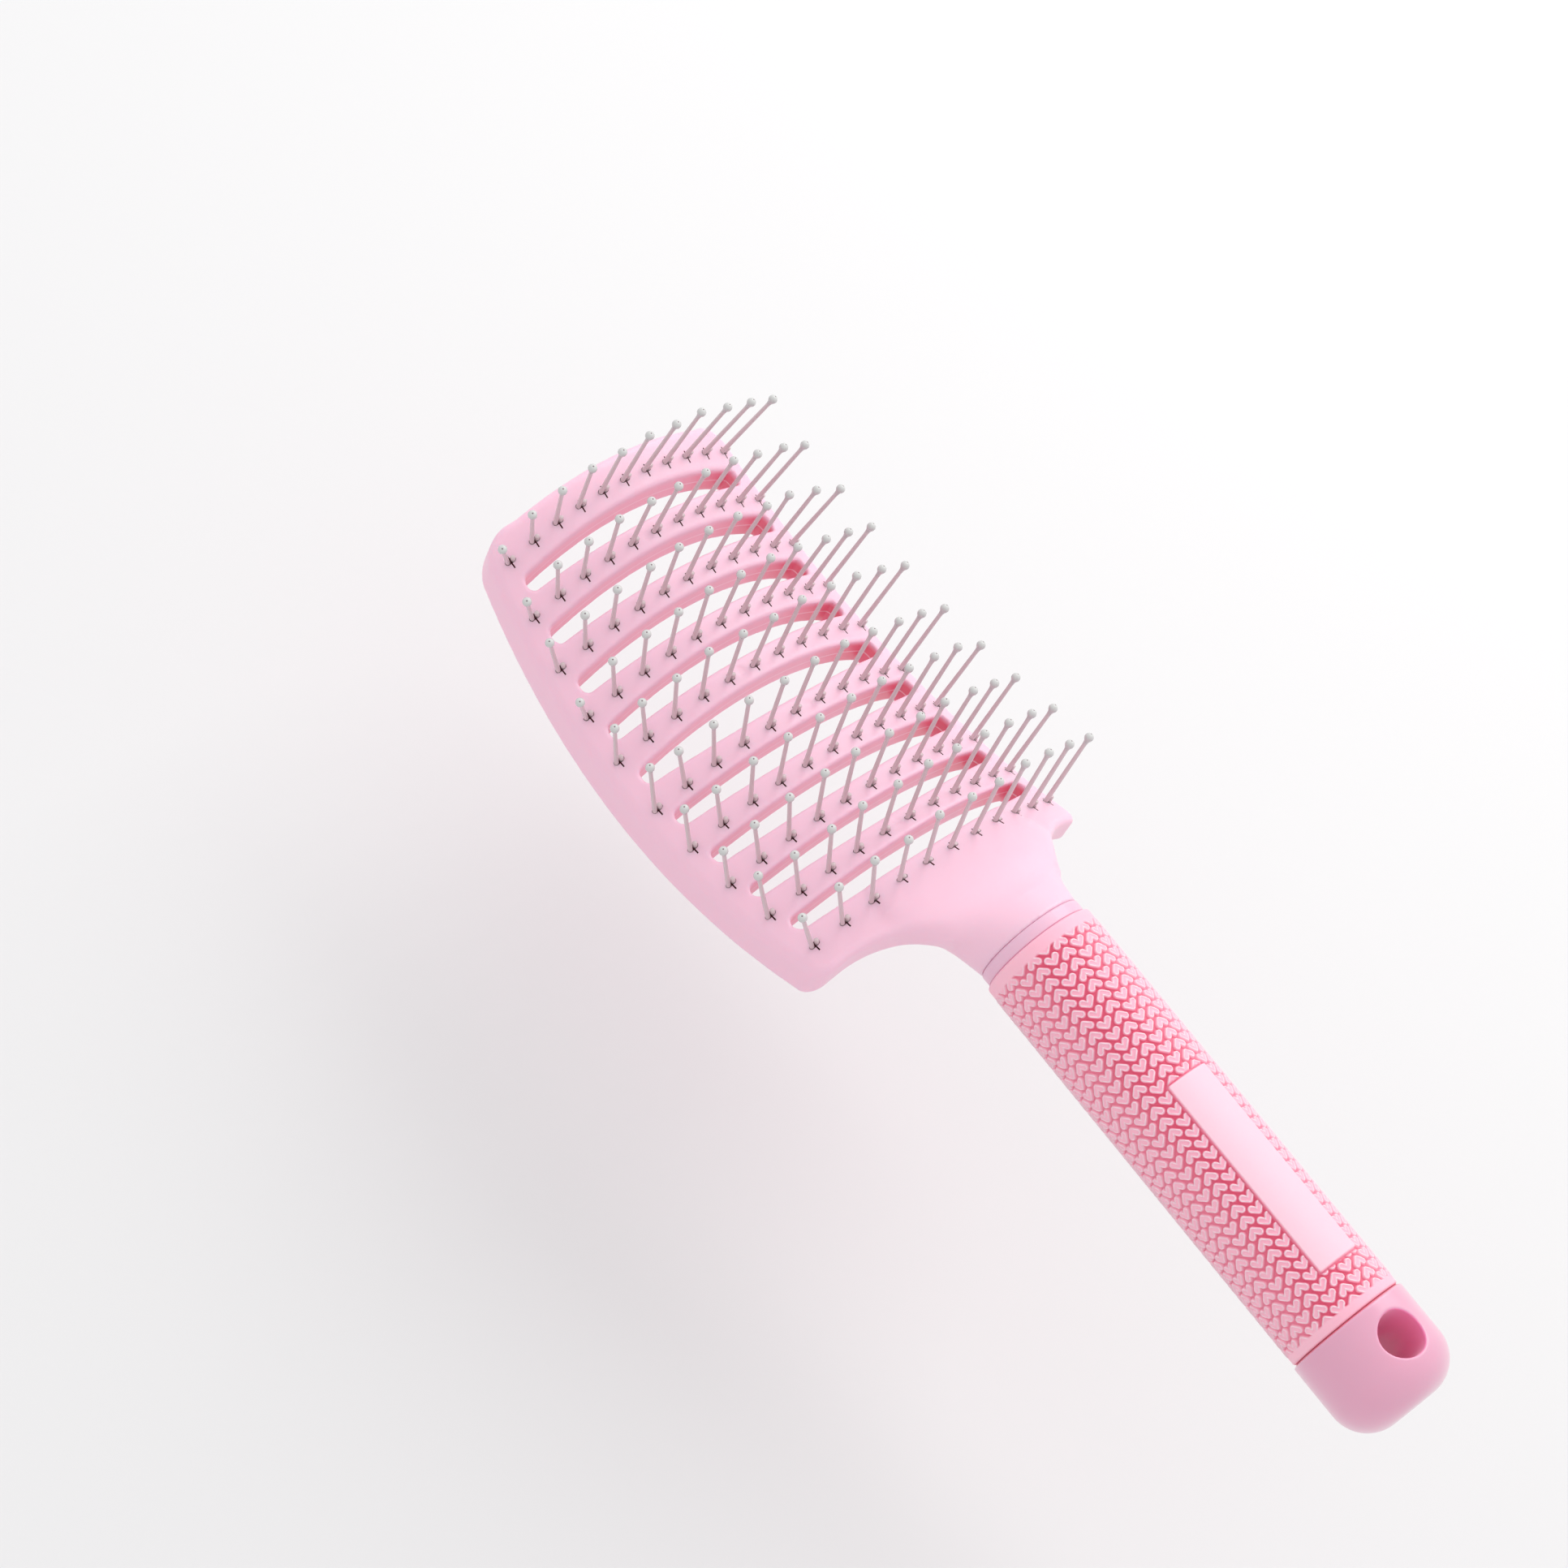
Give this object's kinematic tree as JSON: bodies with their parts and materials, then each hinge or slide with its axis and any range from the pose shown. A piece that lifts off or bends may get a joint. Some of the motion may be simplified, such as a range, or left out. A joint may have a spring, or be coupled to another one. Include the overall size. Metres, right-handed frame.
{
  "type": "vented hairbrush",
  "caption": "Vented hairbrush: curved slotted head with rows of ball-tipped pins folded over wire anchors, collar, textured grip sleeve and end cap with a hanging hole.",
  "frame": {"origin": "centre of the hanging hole, on the handle's axis", "axes": "+X along the handle towards the head's tip, +Z through the hanging hole towards the pin side, +Y across the head"},
  "size_m": [0.238, 0.0805, 0.05],
  "materials": {
    "head_plastic": "satin moulded plastic, pale pink",
    "collar_plastic": "smooth moulded plastic, pale lilac",
    "grip_rubber": "soft matte moulded rubber, pale pink with deeper pink valleys",
    "cap_plastic": "smooth moulded plastic, dusty pink",
    "pin_nylon": "grey nylon filament with a paler rounded tip",
    "anchor_wire": "flat drawn wire"
  },
  "bodies": {
    "root": {"head_body": "head_plastic", "handle_core": "collar_plastic", "grip_sleeve": "grip_rubber", "end_cap": "cap_plastic", "pin_row_01": "pin_nylon", "pin_row_02": "pin_nylon", "pin_row_03": "pin_nylon", "pin_row_04": "pin_nylon", "pin_row_05": "pin_nylon", "pin_row_06": "pin_nylon", "pin_row_07": "pin_nylon", "pin_row_08": "pin_nylon", "pin_row_09": "pin_nylon", "pin_row_10": "pin_nylon", "anchor_row_01": "anchor_wire", "anchor_row_02": "anchor_wire", "anchor_row_03": "anchor_wire", "anchor_row_04": "anchor_wire", "anchor_row_05": "anchor_wire", "anchor_row_06": "anchor_wire", "anchor_row_07": "anchor_wire", "anchor_row_08": "anchor_wire", "anchor_row_09": "anchor_wire", "anchor_row_10": "anchor_wire"}
  },
  "joints": []
}
